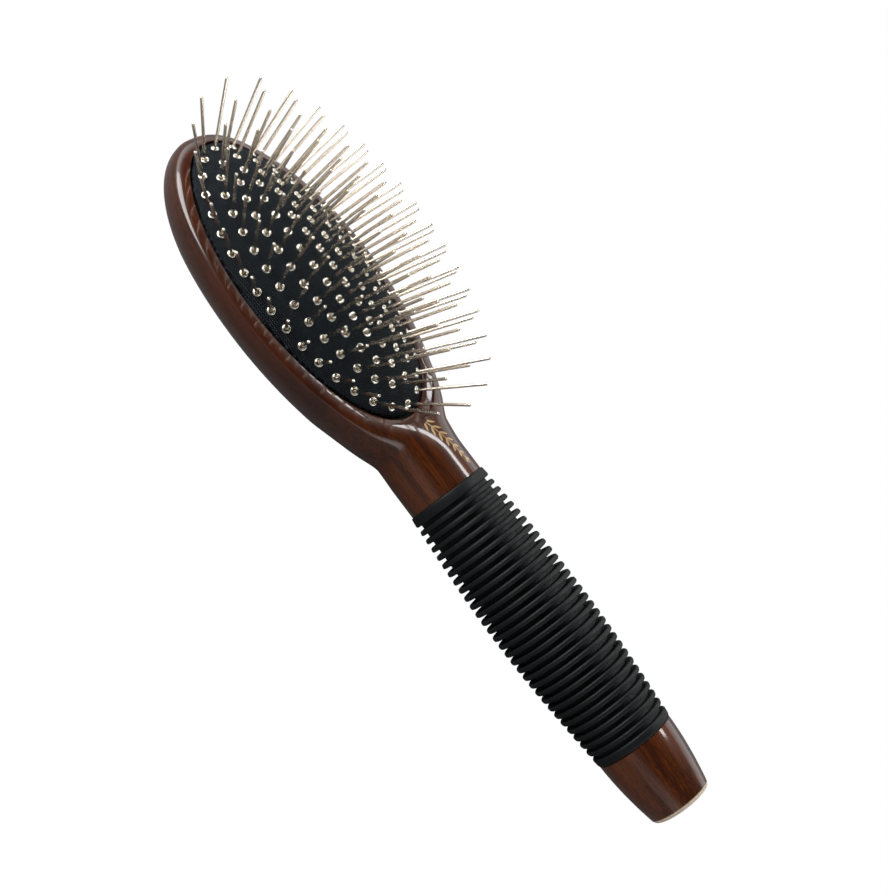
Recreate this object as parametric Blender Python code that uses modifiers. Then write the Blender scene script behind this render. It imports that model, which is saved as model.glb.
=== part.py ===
"""A cushion pin brush: a one-piece wooden body with an oval head, a ribbed rubber grip sleeve, and a
domed rubber cushion faced with cloth that carries five oval rings of steel pins, each in an eyelet.

Frame: +X runs from the head to the butt of the handle, +Z is up through the crown of the cushion, and
the brush lies on its back on Z = 0. Every piece is modelled about the middle of the cushion, and one
empty moves them all so that the origin is the middle of the bounding box's floor.
"""

import math

import bmesh
import bpy
from mathutils import Vector

MM = 0.001
GAP = 0.3 * MM

# Wooden body, measured from the tip of the head
WOOD_LENGTH = 240.0 * MM
HANDLE_AXIS_Z = 15.0 * MM
HEAD_HALF_LENGTH = 55.0 * MM
HEAD_HALF_WIDTH = 29.3 * MM
NECK_RADIUS = 12.3 * MM
NECK_BLEND = (75.0 * MM, 105.0 * MM)
RIM_WIDEST_Z = 20.0 * MM
TIP_DIP = 4.0 * MM
TIP_DIP_LENGTH = 26.0 * MM
RIM_TOP_Z = 23.4 * MM
BELLY_SINK = 1.0 * MM
BOW_LENGTH = 31.0 * MM
LIP_BOW_LENGTH = 9.0 * MM
SECTION_BLEND = (90.0 * MM, 118.0 * MM)
BELLY_BLEND = (86.5 * MM, 116.0 * MM)
RIM_SQUARENESS = 5.0
TIP_SQUARENESS = 3.0
TIP_BLEND = (12.0 * MM, 42.0 * MM)
BUTT_ROOT_RADIUS = 12.5 * MM
BUTT_END_RADIUS = 9.7 * MM
BUTT_EDGE = 0.6 * MM
NECK_BLEND_POWER = 3.0
BOW_POWER = 2.2
BUTT_TAPER_POWER = 1.8
HEAD_STATION = 6.0 * MM
SECTION_POINTS = 24

# Grip sleeve, on a thinner length of the handle
GRIP_START = 127.3 * MM
GRIP_LENGTH = 89.5 * MM
GRIP_CORE_RADIUS = 10.0 * MM
GRIP_END_RADIUS = 12.8 * MM
GRIP_SWELL = 2.2 * MM
GRIP_BAND = 3.1 * MM
RIB_COUNT = 29
RIB_DEPTH = 2.0 * MM
GRIP_SEGMENTS = 16

# Cushion: its middle is this far from the tip of the head
PAD_CENTRE = 53.8 * MM
PAD_HALF_LENGTH = 48.3 * MM
PAD_HALF_WIDTH = 24.7 * MM
PAD_EDGE_Z = 23.0 * MM
CROWN_RADIUS = 34.2 * MM
END_LEAN = 1.28
MIDDLE_LEAN = 0.09
LEAN_FALL = 0.003 / MM
FAN_TWIST = 0.13
END_FAN = 0.5
TIP_SWAY = 0.08
CLOTH = 0.8 * MM
RUBBER = 2.0 * MM
EDGE_POINTS = 40
SKIRT_STEP = 0.05

# Turned-down edges, ring by ring: outer face's offset and height, then inner face's offset and height
CLOTH_SKIRT = ((0.0, 21.7 * MM, -0.6 * MM, 21.7 * MM),)
RUBBER_BEAD = (
    (-0.9 * MM, 21.3 * MM, -2.3 * MM, 20.6 * MM),
    (1.2 * MM, 21.1 * MM, -2.4 * MM, 20.3 * MM),
    (1.2 * MM, 19.8 * MM, -2.4 * MM, 19.8 * MM),
)

# Seat of the cushion in the head: how far each cut reaches past the cushion's edge, and its heights
SEAT_GROWTH = 0.8 * MM
GROOVE_GROWTH = 1.6 * MM
CAVITY_GROWTH = -2.8 * MM
LEDGE_Z = 19.5 * MM
GROOVE_TOP_Z = 21.5 * MM
CAVITY_FLOOR_Z = 10.0 * MM
CUT_TOP_Z = 40.0 * MM
SEAT_POINTS = 48

# Pins and eyelets
PIN_WIDTH = 0.95 * MM
PIN_EXPOSED = 22.3 * MM
RAIL_TOP = CLOTH + GAP + RUBBER + 0.5 * MM
RAIL_THICK = 0.9 * MM
HOLE_HALF = PIN_WIDTH / 2 + 0.45 * MM
EYELET_HALF = 1.4 * MM
EYELET_THICK = 0.4 * MM
EYELET_LINK = 0.35 * MM
EYELET_TAPER = 0.85

# Ring name: distance in from the cushion's edge, how much shorter it stops at the handle end, number
# of pins, and where the first one stands, in pin spacings from the handle end
RINGS = {
    "ring_1": (2.3 * MM, 0.0, 34, 0.0),
    "ring_2": (7.2 * MM, 1.4 * MM, 30, 0.5),
    "ring_3": (12.8 * MM, 1.4 * MM, 26, 0.0),
    "ring_4": (18.9 * MM, 1.4 * MM, 20, 0.0),
}
CENTRE_ROW = "centre_row"
CENTRE_COUNT = 7
CENTRE_PITCH = 6.2 * MM
CENTRE_SHIFT = 2.2 * MM

FINISHES = {
    "lacquered_wood": ((0.16, 0.045, 0.022), 0.18, 0.0),
    "ribbed_rubber": ((0.03, 0.033, 0.036), 0.6, 0.0),
    "cushion_rubber": ((0.02, 0.02, 0.02), 0.7, 0.0),
    "woven_cloth": ((0.015, 0.018, 0.024), 0.9, 0.0),
    "pin_steel": ((0.62, 0.58, 0.52), 0.2, 1.0),
    "eyelet_metal": ((0.78, 0.76, 0.70), 0.25, 1.0),
}


# ---------------------------------------------------------------------------------------- helpers


def clear_scene():
    for old in list(bpy.data.objects):
        bpy.data.objects.remove(old, do_unlink=True)


def collection(name):
    made = bpy.data.collections.new(name)
    bpy.context.scene.collection.children.link(made)
    return made


def finish(name):
    """The Principled material of this name, made once."""
    if name in bpy.data.materials:
        return bpy.data.materials[name]
    colour, roughness, metallic = FINISHES[name]
    material = bpy.data.materials.new(name)
    material.use_nodes = True
    shader = material.node_tree.nodes["Principled BSDF"]
    shader.inputs["Base Color"].default_value = (*colour, 1.0)
    shader.inputs["Roughness"].default_value = roughness
    shader.inputs["Metallic"].default_value = metallic
    material.diffuse_color = (*colour, 1.0)
    return material


def add_object(name, mesh, group, finish_name=None, parent=None):
    piece = bpy.data.objects.new(name, mesh)
    group.objects.link(piece)
    if finish_name:
        mesh.materials.append(finish(finish_name))
    piece.parent = parent
    return piece


def mesh_from(bm, name):
    mesh = bpy.data.meshes.new(name)
    bm.to_mesh(mesh)
    bm.free()
    return mesh


def smoothstep(value, start, end):
    t = min(max((value - start) / (end - start), 0.0), 1.0)
    return t * t * (3.0 - 2.0 * t)


def mix(a, b, share):
    return a + (b - a) * share


def empty(name, group, parent=None, location=(0.0, 0.0, 0.0)):
    made = bpy.data.objects.new(name, None)
    made.empty_display_size = 0.01
    group.objects.link(made)
    made.parent = parent
    made.location = location
    return made


# ------------------------------------------------------------------------------------ wooden body


def wood_half_width(u):
    """Half-width of the body at u from the tip: the head's oval, run softly into the round neck."""
    oval = 1.0 - ((u - HEAD_HALF_LENGTH) / HEAD_HALF_LENGTH) ** 2
    head = HEAD_HALF_WIDTH * math.sqrt(max(oval, 0.0))
    neck = NECK_RADIUS * smoothstep(u, *NECK_BLEND)
    return (head**NECK_BLEND_POWER + neck**NECK_BLEND_POWER) ** (1 / NECK_BLEND_POWER)


def bow(u, length):
    """Share of the full depth at u from the tip, where the head is rounded off like a bow."""
    short = max(length - u, 0.0) / length
    return (1.0 - short**BOW_POWER) ** (1 / BOW_POWER)


def rim_level(u):
    """Height of the head's widest level, which dips towards the tip."""
    return RIM_WIDEST_Z - TIP_DIP * max(1.0 - u / TIP_DIP_LENGTH, 0.0) ** 2


def head_section(u):
    """(half-width, height of the widest level, rise above it, drop below it, squareness of the top)."""
    to_neck = smoothstep(u, *SECTION_BLEND)
    level = rim_level(u)
    widest = mix(level, HANDLE_AXIS_Z, to_neck)
    rise = mix((RIM_TOP_Z - level) * bow(u, LIP_BOW_LENGTH), NECK_RADIUS, to_neck)
    belly = (level + BELLY_SINK) * bow(u, BOW_LENGTH)
    drop = mix(belly, NECK_RADIUS, smoothstep(u, *BELLY_BLEND))
    squareness = mix(TIP_SQUARENESS, RIM_SQUARENESS, smoothstep(u, *TIP_BLEND))
    return wood_half_width(u), widest, rise, drop, mix(squareness, 2.0, to_neck)


def round_section(radius):
    return radius, HANDLE_AXIS_Z, radius, radius, 2.0


def butt_radius(u):
    along = (u - GRIP_START - GRIP_LENGTH) / (WOOD_LENGTH - GRIP_START - GRIP_LENGTH)
    return mix(BUTT_ROOT_RADIUS, BUTT_END_RADIUS, along**BUTT_TAPER_POWER)


def wood_stations():
    """(distance from the tip, section) for each ring of the loft, from the head to the butt."""
    bow_steps = [HEAD_HALF_LENGTH * (1 - math.cos(math.radians(a))) for a in range(8, 90, 9)]
    body_count = int((GRIP_START - HEAD_HALF_LENGTH) / HEAD_STATION)
    body_steps = [HEAD_HALF_LENGTH + i * HEAD_STATION for i in range(body_count)]
    stations = [(u, head_section(u)) for u in bow_steps + body_steps]
    grip_end = GRIP_START + GRIP_LENGTH
    stations += [
        (GRIP_START - GAP, round_section(NECK_RADIUS + 0.05 * MM)),
        (GRIP_START - GAP, round_section(GRIP_CORE_RADIUS)),
        (grip_end + GAP, round_section(GRIP_CORE_RADIUS)),
        (grip_end + GAP, round_section(BUTT_ROOT_RADIUS)),
    ]
    butt_steps = [grip_end + share * (WOOD_LENGTH - grip_end) for share in (0.25, 0.5, 0.75, 0.95)]
    stations += [(u, round_section(butt_radius(u))) for u in butt_steps]
    stations.append((WOOD_LENGTH, round_section(butt_radius(WOOD_LENGTH) - BUTT_EDGE)))
    return stations


def section_point(angle, section):
    half_width, widest, rise, drop, squareness = section
    power = 2.0 / (squareness if math.sin(angle) > 0 else 2.0)
    across = math.copysign(abs(math.cos(angle)) ** power, math.cos(angle))
    up = math.copysign(abs(math.sin(angle)) ** power, math.sin(angle))
    height = widest + up * (rise if up > 0 else drop)
    return half_width * across, max(height, 0.0)


def wood_loft():
    """The body as a loft of unlike sections: boat-shaped in the head and round in the handle."""
    bm = bmesh.new()
    rings = []
    for u, section in wood_stations():
        ring = []
        for i in range(SECTION_POINTS):
            y, z = section_point(2 * math.pi * i / SECTION_POINTS, section)
            ring.append(bm.verts.new((u - PAD_CENTRE, y, z)))
        rings.append(ring)
    for near, far in zip(rings, rings[1:]):
        for i in range(SECTION_POINTS):
            j = (i + 1) % SECTION_POINTS
            bm.faces.new((near[i], near[j], far[j], far[i]))
    nose = bm.verts.new((-PAD_CENTRE, 0.0, rim_level(0.0)))
    for i in range(SECTION_POINTS):
        bm.faces.new((rings[0][(i + 1) % SECTION_POINTS], rings[0][i], nose))
    bm.faces.new(rings[-1])
    bmesh.ops.recalc_face_normals(bm, faces=bm.faces)
    return mesh_from(bm, "wooden_body")


def seat_cutter(group, parent):
    """What is cut from the head: air space, ledge, undercut groove for the bead, and upright seat."""
    steps = (
        (CAVITY_GROWTH, CAVITY_FLOOR_Z),
        (CAVITY_GROWTH, LEDGE_Z),
        (GROOVE_GROWTH, LEDGE_Z),
        (GROOVE_GROWTH, GROOVE_TOP_Z),
        (SEAT_GROWTH, GROOVE_TOP_Z),
        (SEAT_GROWTH, CUT_TOP_Z),
    )
    bm = bmesh.new()
    rings = []
    for growth, height in steps:
        long_half, short_half = PAD_HALF_LENGTH + growth, PAD_HALF_WIDTH + growth
        turns = (2 * math.pi * (i + 0.5) / SEAT_POINTS for i in range(SEAT_POINTS))
        rings.append([bm.verts.new((long_half * math.cos(a), short_half * math.sin(a), height)) for a in turns])
    for lower, upper in zip(rings, rings[1:]):
        for i in range(SEAT_POINTS):
            j = (i + 1) % SEAT_POINTS
            bm.faces.new((lower[i], lower[j], upper[j], upper[i]))
    bm.faces.new(rings[0])
    bm.faces.new(rings[-1])
    bmesh.ops.recalc_face_normals(bm, faces=bm.faces)
    cutter = add_object("cushion_seat", mesh_from(bm, "cushion_seat"), group, parent=parent)
    cutter.hide_render = True
    cutter.display_type = "WIRE"
    return cutter


def make_wooden_body(parts, cutters, root):
    body = add_object("wooden_body", wood_loft(), parts, "lacquered_wood", root)
    cut = body.modifiers.new("cushion_seat", "BOOLEAN")
    cut.operation = "DIFFERENCE"
    cut.object = seat_cutter(cutters, root)
    body.data.shade_smooth()
    body.data.set_sharp_from_angle(angle=math.radians(35))


# ------------------------------------------------------------------------------------ grip sleeve


def crest_radius(along):
    """Radius over the ribs at a share of the sleeve's length."""
    return GRIP_END_RADIUS + GRIP_SWELL * math.sin(math.pi * along)


def grip_profile():
    """Closed profile (radius, height) of the sleeve, down the ribbed outside and back up the bore."""
    points = [(GRIP_END_RADIUS, GRIP_LENGTH), (crest_radius(GRIP_BAND / GRIP_LENGTH), GRIP_LENGTH - GRIP_BAND)]
    ribbed = GRIP_LENGTH - 2 * GRIP_BAND
    pitch = ribbed / (RIB_COUNT + 1)
    for i in range(RIB_COUNT + 1):
        root = GRIP_LENGTH - GRIP_BAND - (i + 0.5) * pitch
        points.append((crest_radius(root / GRIP_LENGTH) - RIB_DEPTH, root))
        crest = root - pitch / 2
        points.append((crest_radius(crest / GRIP_LENGTH), crest))
    points.append((GRIP_END_RADIUS, 0.0))
    bore = GRIP_CORE_RADIUS + GAP
    return points + [(bore, 0.0), (bore, GRIP_LENGTH)]


def make_grip_sleeve(parts, root):
    bm = bmesh.new()
    verts = [bm.verts.new((radius, 0.0, height)) for radius, height in grip_profile()]
    for a, b in zip(verts, verts[1:] + verts[:1]):
        bm.edges.new((a, b))
    sleeve = add_object("grip_sleeve", mesh_from(bm, "grip_sleeve"), parts, "ribbed_rubber", root)
    sleeve.location = (GRIP_START - PAD_CENTRE, 0.0, HANDLE_AXIS_Z)
    sleeve.rotation_euler = (0.0, math.pi / 2, 0.0)
    turn = sleeve.modifiers.new("turned", "SCREW")
    turn.steps = turn.render_steps = GRIP_SEGMENTS
    turn.use_merge_vertices = True
    turn.merge_threshold = 0.01 * MM
    turn.use_smooth_shade = False


# --------------------------------------------------------------------------- cushion and its rings


def edge_share(x, y):
    """0 in the middle of the cushion and 1 on its edge."""
    return math.hypot(x / PAD_HALF_LENGTH, y / PAD_HALF_WIDTH)


def crown_point(x, y):
    """The point of the cloth's outer face above (x, y)."""
    across = PAD_HALF_WIDTH * min(edge_share(x, y), 1.0)
    rise = math.sqrt(CROWN_RADIUS**2 - across**2) - math.sqrt(CROWN_RADIUS**2 - PAD_HALF_WIDTH**2)
    return Vector((x, y, PAD_EDGE_Z + rise))


def pin_direction(x, y):
    """The way a pin at (x, y) points: about square to the crown, fanned out at both ends of the oval,
    and drawn a little towards the handle in the middle and on the right."""
    across = PAD_HALF_WIDTH * min(edge_share(x, y), 1.0)
    level = math.sqrt(CROWN_RADIUS**2 - across**2)
    slope_x = (PAD_HALF_WIDTH / PAD_HALF_LENGTH) ** 2 * x / level
    end = (x / PAD_HALF_LENGTH) ** 4
    drawn = (MIDDLE_LEAN - LEAN_FALL * x) * (1.0 - end) + FAN_TWIST * y / PAD_HALF_WIDTH
    sway = TIP_SWAY * end if x < 0.0 else 0.0
    return Vector((END_LEAN * slope_x + drawn, (1.0 + END_FAN * end) * y / level + sway, 1.0)).normalized()


def oval_points(inset, short, count, phase):
    """(point, tangent) pairs at equal steps round the oval that lies inset from the cushion's edge, and
    stops short of that at the handle end."""
    long_half, short_half = PAD_HALF_LENGTH - inset - short / 2, PAD_HALF_WIDTH - inset
    fine = 1440
    course = [
        Vector((long_half * math.cos(a) - short / 2, short_half * math.sin(a), 0.0))
        for a in (2 * math.pi * i / fine for i in range(fine + 1))
    ]
    lengths = [0.0]
    for a, b in zip(course, course[1:]):
        lengths.append(lengths[-1] + (b - a).length)
    found = []
    k = 0
    for i in range(count):
        wanted = lengths[-1] * (i + phase) / count
        while lengths[k + 1] < wanted:
            k += 1
        share = (wanted - lengths[k]) / (lengths[k + 1] - lengths[k])
        found.append((course[k].lerp(course[k + 1], share), (course[k + 1] - course[k]).normalized()))
    return found


def pin_groups():
    """Group name to its (point, tangent) pairs: each ring in two halves, and the row in the middle."""
    groups = {}
    for ring, (inset, short, count, phase) in RINGS.items():
        points = oval_points(inset, short, count, phase)
        groups[f"{ring}_right"] = points[: count // 2]
        groups[f"{ring}_left"] = points[count // 2 :]
    first = CENTRE_SHIFT - (CENTRE_COUNT - 1) / 2 * CENTRE_PITCH
    groups[CENTRE_ROW] = [
        (Vector((first + i * CENTRE_PITCH, 0.0, 0.0)), Vector((1.0, 0.0, 0.0))) for i in range(CENTRE_COUNT)
    ]
    return groups


def square_about(point, tangent, half):
    """Corners of the square hole that a pin passes through, foreshortened as the crown slopes there."""
    out = Vector((tangent.y, -tangent.x, 0.0)) * pin_direction(point.x, point.y).z
    return [point + tangent * half * a + out * half * b for a, b in ((-1, -1), (1, -1), (1, 1), (-1, 1))]


def filled_outlines(outlines, thickness):
    """bmesh of a flat plate: a 2D curve filled between its outlines and extruded.

    Its caps are welded on, and their triangles are turned to run between near neighbours, so that they
    stay close to the crown when the plate is bent over it. It is made a thousand times too large, then
    scaled, because Blender takes edges this short for ones of no length.
    """
    curve = bpy.data.curves.new("outlines", "CURVE")
    curve.dimensions = "2D"
    curve.fill_mode = "BOTH"
    curve.extrude = thickness / MM / 2
    for outline in outlines:
        spline = curve.splines.new("POLY")
        spline.points.add(len(outline) - 1)
        for corner, point in zip(spline.points, outline):
            corner.co = (point.x / MM, point.y / MM, 0.0, 1.0)
        spline.use_cyclic_u = True
    guide = bpy.data.objects.new("outlines", curve)
    bpy.context.scene.collection.objects.link(guide)
    mesh = bpy.data.meshes.new_from_object(guide.evaluated_get(bpy.context.evaluated_depsgraph_get()))
    bpy.data.objects.remove(guide, do_unlink=True)
    bpy.data.curves.remove(curve)
    bm = bmesh.new()
    bm.from_mesh(mesh)
    bpy.data.meshes.remove(mesh)
    bmesh.ops.remove_doubles(bm, verts=bm.verts, dist=0.001)
    bmesh.ops.recalc_face_normals(bm, faces=bm.faces)
    bm.normal_update()
    caps = [face for face in bm.faces if abs(face.normal.z) > 0.5]
    inner = [edge for edge in bm.edges if all(abs(face.normal.z) > 0.5 for face in edge.link_faces)]
    bmesh.ops.beautify_fill(bm, faces=caps, edges=inner, method="AREA")
    bmesh.ops.scale(bm, vec=(MM, MM, MM), verts=bm.verts)
    return bm


def extrude_faces(bm, faces):
    """Raises new faces off these ones, which go; returns the new faces and their vertices."""
    grown = bmesh.ops.extrude_face_region(bm, geom=faces)["geom"]
    bmesh.ops.delete(bm, geom=faces, context="FACES_ONLY")
    raised = [item for item in grown if isinstance(item, bmesh.types.BMFace)]
    return raised, [item for item in grown if isinstance(item, bmesh.types.BMVert)]


def add_skirt_rings(bm, count):
    """Extends a plate's edge outwards by count rings, each one SKIRT_STEP of the plate's size further."""
    faces = [
        f
        for f in bm.faces
        if abs(f.normal.z) < 0.5 and all(abs(edge_share(v.co.x, v.co.y) - 1.0) < 0.002 for v in f.verts)
    ]
    for ring in range(1, count + 1):
        faces, verts = extrude_faces(bm, faces)
        for vert in verts:
            factor = (1.0 + ring * SKIRT_STEP) / (1.0 + (ring - 1) * SKIRT_STEP)
            vert.co.x *= factor
            vert.co.y *= factor


def drape(bm, middle, skirt=()):
    """Bends a flat plate over the crown, its middle layer offset by middle along the pins.

    skirt holds, for each ring past the edge, (outer offset, outer height, inner offset, inner height).
    """
    for vert in bm.verts:
        x, y, through = vert.co
        ring = round((edge_share(x, y) - 1.0) / SKIRT_STEP)
        if ring < 1 or not skirt:
            vert.co = crown_point(x, y) + pin_direction(x, y) * (middle + through)
            continue
        shrink = 1.0 / edge_share(x, y)
        out = Vector((x / PAD_HALF_LENGTH**2, y / PAD_HALF_WIDTH**2, 0.0)).normalized()
        outer = skirt[ring - 1][:2]
        inner = skirt[ring - 1][2:]
        offset, height = outer if through > 0 else inner
        vert.co = Vector((x * shrink, y * shrink, height)) + out * offset


def perforated_sheet(name, middle, thickness, skirt, finish_name, parts, root):
    """A sheet of the cushion, with a hole for every pin and its edge turned down into the seat."""
    edge = [
        Vector((PAD_HALF_LENGTH * math.cos(a), PAD_HALF_WIDTH * math.sin(a), 0.0))
        for a in (2 * math.pi * i / EDGE_POINTS for i in range(EDGE_POINTS))
    ]
    pins = [pin for group in pin_groups().values() for pin in group]
    holes = [square_about(point, tangent, HOLE_HALF) for point, tangent in pins]
    bm = filled_outlines([edge] + holes, thickness)
    add_skirt_rings(bm, len(skirt))
    drape(bm, middle, skirt)
    bmesh.ops.recalc_face_normals(bm, faces=bm.faces)
    add_object(name, mesh_from(bm, name), parts, finish_name, root)


def make_cushion(parts, root):
    perforated_sheet("cloth_face", -CLOTH / 2, CLOTH, CLOTH_SKIRT, "woven_cloth", parts, root)
    rubber_middle = -CLOTH - GAP - RUBBER / 2
    perforated_sheet("rubber_cushion", rubber_middle, RUBBER, RUBBER_BEAD, "cushion_rubber", parts, root)


def eyelet_strip(pins):
    """Outline of one group's eyelets, which share a thin link along their upper edge."""
    reach = EYELET_HALF
    corners = ((-reach, EYELET_LINK - reach), (-EYELET_TAPER * reach, reach))
    corners += ((EYELET_TAPER * reach, reach), (reach, EYELET_LINK - reach))
    outer, inner = [], []
    for point, tangent in pins:
        out = Vector((tangent.y, -tangent.x, 0.0)) * pin_direction(point.x, point.y).z
        outer += [point + tangent * along + out * across for along, across in corners]
        inner.append(point - out * reach)
    first, last = pins[0], pins[-1]
    ends = [inner[0] - first[1] * reach, inner[-1] + last[1] * reach]
    return outer + [ends[1]] + inner[-2:0:-1] + [ends[0]]


def make_eyelets(name, pins, parts, parent):
    holes = [square_about(point, tangent, HOLE_HALF) for point, tangent in pins]
    bm = filled_outlines([eyelet_strip(pins)] + holes, EYELET_THICK)
    drape(bm, GAP + EYELET_THICK / 2)
    bmesh.ops.recalc_face_normals(bm, faces=bm.faces)
    add_object(f"eyelets_{name}", mesh_from(bm, name), parts, "eyelet_metal", parent)


def rail_ring(bm, foot, tangent, side, direction, along):
    """Four corners of the rail's section, at a distance along it from a pin's foot."""
    half = PIN_WIDTH / 2
    middle = foot + tangent * along
    corners = ((-half, 0.0), (half, 0.0), (half, -RAIL_THICK), (-half, -RAIL_THICK))
    return [bm.verts.new(middle + side * across + direction * up) for across, up in corners]


def make_pins(name, pins, parts, parent):
    """One group's pins, standing on a thin rail under the cushion that holds their feet."""
    bm = bmesh.new()
    rings, tips = [], []
    for point, plan_tangent in pins:
        direction = pin_direction(point.x, point.y)
        tangent = (plan_tangent - direction * plan_tangent.dot(direction)).normalized()
        side = direction.cross(tangent)
        base = crown_point(point.x, point.y)
        foot = base - direction * RAIL_TOP
        for along in (-PIN_WIDTH / 2, PIN_WIDTH / 2):
            rings.append(rail_ring(bm, foot, tangent, side, direction, along))
        tips.append(direction * (RAIL_TOP + PIN_EXPOSED))
    tops = []
    for i, (near, far) in enumerate(zip(rings, rings[1:])):
        quads = [bm.faces.new((near[k], near[(k + 1) % 4], far[(k + 1) % 4], far[k])) for k in range(4)]
        if i % 2 == 0:
            tops.append(quads[0])
    bm.faces.new(rings[0])
    bm.faces.new(rings[-1])
    for top, tip in zip(tops, tips):
        _, raised = extrude_faces(bm, [top])
        bmesh.ops.translate(bm, vec=tip, verts=raised)
    bmesh.ops.recalc_face_normals(bm, faces=bm.faces)
    add_object(f"pins_{name}", mesh_from(bm, name), parts, "pin_steel", parent)


def foremost_pin_x():
    """How far the pins that lean past the head's tip reach, from the cushion's middle."""
    reach = 0.0
    for pins in pin_groups().values():
        for point, _ in pins:
            direction = pin_direction(point.x, point.y)
            tip = crown_point(point.x, point.y) + direction * PIN_EXPOSED
            reach = min(reach, tip.x - PIN_WIDTH / 2 * direction.z)
    return reach


def main():
    clear_scene()
    parts = collection("cushion_pin_brush")
    cutters = collection("cutters")
    butt_x = WOOD_LENGTH - PAD_CENTRE
    root = empty("brush", parts, location=(-(butt_x + foremost_pin_x()) / 2, 0.0, 0.0))
    make_wooden_body(parts, cutters, root)
    make_grip_sleeve(parts, root)
    make_cushion(parts, root)
    presses = {name: empty(f"press_{name}", parts, root) for name in [*RINGS, CENTRE_ROW]}
    for name, pins in pin_groups().items():
        press = presses[name.removesuffix("_left").removesuffix("_right")]
        make_pins(name, pins, parts, press)
        make_eyelets(name, pins, parts, press)


main()
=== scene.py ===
"""The looks of a cushion pin brush: lacquered wood, ribbed rubber grip, woven cloth and steel pins.

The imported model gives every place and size. Each class below is one sub-assembly of the brush, and it
builds the meshes that are seen and dresses them in their finish. Lengths are in metres, +X runs from the
head to the butt of the handle, and +Z is up through the crown of the cushion.
"""

from __future__ import annotations

import logging
import math
import random
from collections.abc import Sequence
from dataclasses import dataclass, field
from enum import Enum

import bmesh
import bpy
from mathutils import Matrix, Vector


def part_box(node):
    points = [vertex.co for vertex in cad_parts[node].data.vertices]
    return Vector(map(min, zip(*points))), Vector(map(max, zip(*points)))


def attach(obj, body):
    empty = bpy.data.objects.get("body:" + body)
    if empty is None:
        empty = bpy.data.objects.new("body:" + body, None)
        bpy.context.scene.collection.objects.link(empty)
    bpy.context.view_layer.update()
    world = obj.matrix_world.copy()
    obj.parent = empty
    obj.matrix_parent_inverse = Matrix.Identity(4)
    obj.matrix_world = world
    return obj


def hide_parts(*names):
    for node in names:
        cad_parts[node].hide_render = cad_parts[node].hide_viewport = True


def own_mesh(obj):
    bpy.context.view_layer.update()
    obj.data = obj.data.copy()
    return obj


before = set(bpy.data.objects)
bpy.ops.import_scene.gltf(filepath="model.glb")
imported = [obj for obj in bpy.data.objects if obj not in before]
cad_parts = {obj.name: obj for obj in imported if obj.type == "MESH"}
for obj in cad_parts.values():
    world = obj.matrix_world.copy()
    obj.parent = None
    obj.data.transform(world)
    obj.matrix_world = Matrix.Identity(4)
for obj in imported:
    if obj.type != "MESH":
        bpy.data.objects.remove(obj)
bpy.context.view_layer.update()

LOG = logging.getLogger("pin_brush")
MM = 0.001

Ring = list[Vector]
Colour = tuple[float, float, float]
Pair = tuple[float, float]
Section = tuple[float, float, float, float, float]

SHADER_SOCKETS = {
    "base_color": "Base Color",
    "coat_weight": "Coat Weight",
    "coat_roughness": "Coat Roughness",
    "specular": "Specular IOR Level",
}


# ------------------------------------------------------------------------------------- shader graph


class Socket:
    """One output of a shader node, which can be used in sums as if it were a number."""

    def __init__(self, graph: Graph, output: bpy.types.NodeSocket) -> None:
        """Wraps an output socket of a graph."""
        self.graph = graph
        self.output = output

    def _maths(self, operation: str, other: Socket | float, turned: bool = False) -> Socket:
        """Adds a Math node.

        Args:
            operation: the node's operation.
            other: the other number.
            turned: True where the other comes first.

        Returns:
            The node's value.
        """
        terms = (other, self) if turned else (self, other)
        return self.graph.add("ShaderNodeMath", {"operation": operation}, dict(enumerate(terms)))[0]

    def __add__(self, other: Socket | float) -> Socket:
        """Self plus other."""
        return self._maths("ADD", other)

    def __radd__(self, other: float) -> Socket:
        """Other plus self."""
        return self._maths("ADD", other, turned=True)

    def __sub__(self, other: Socket | float) -> Socket:
        """Self minus other."""
        return self._maths("SUBTRACT", other)

    def __rsub__(self, other: float) -> Socket:
        """Other minus self."""
        return self._maths("SUBTRACT", other, turned=True)

    def __mul__(self, other: Socket | float) -> Socket:
        """Self times other."""
        return self._maths("MULTIPLY", other)

    def __rmul__(self, other: float) -> Socket:
        """Other times self."""
        return self._maths("MULTIPLY", other, turned=True)

    def __truediv__(self, other: Socket | float) -> Socket:
        """Self divided by other."""
        return self._maths("DIVIDE", other)

    def __gt__(self, other: Socket | float) -> Socket:
        """1 where self is the greater, and 0 elsewhere."""
        return self._maths("GREATER_THAN", other)

    def __abs__(self) -> Socket:
        """The size of self, without its sign."""
        return self._maths("ABSOLUTE", 0.0)

    def __pow__(self, power: float) -> Socket:
        """Self to a power."""
        return self._maths("POWER", power)

    def sine(self) -> Socket:
        """The sine of self, in radians."""
        return self._maths("SINE", 0.0)

    def floor(self) -> Socket:
        """Self rounded down."""
        return self._maths("FLOOR", 0.0)

    def highest(self, other: Socket | float) -> Socket:
        """The greater of self and other."""
        return self._maths("MAXIMUM", other)

    def remainder(self, step: float) -> Socket:
        """What is left of self over whole steps."""
        return self._maths("FLOORED_MODULO", step)


class Outputs:
    """The outputs of one node, by name or number."""

    def __init__(self, graph: Graph, node: bpy.types.Node) -> None:
        """Wraps a node of a graph."""
        self.graph = graph
        self.node = node

    def __getitem__(self, key: str | int) -> Socket:
        """The output of this name or number."""
        return Socket(self.graph, self.node.outputs[key])


Value = Socket | float | Sequence[float]


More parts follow.
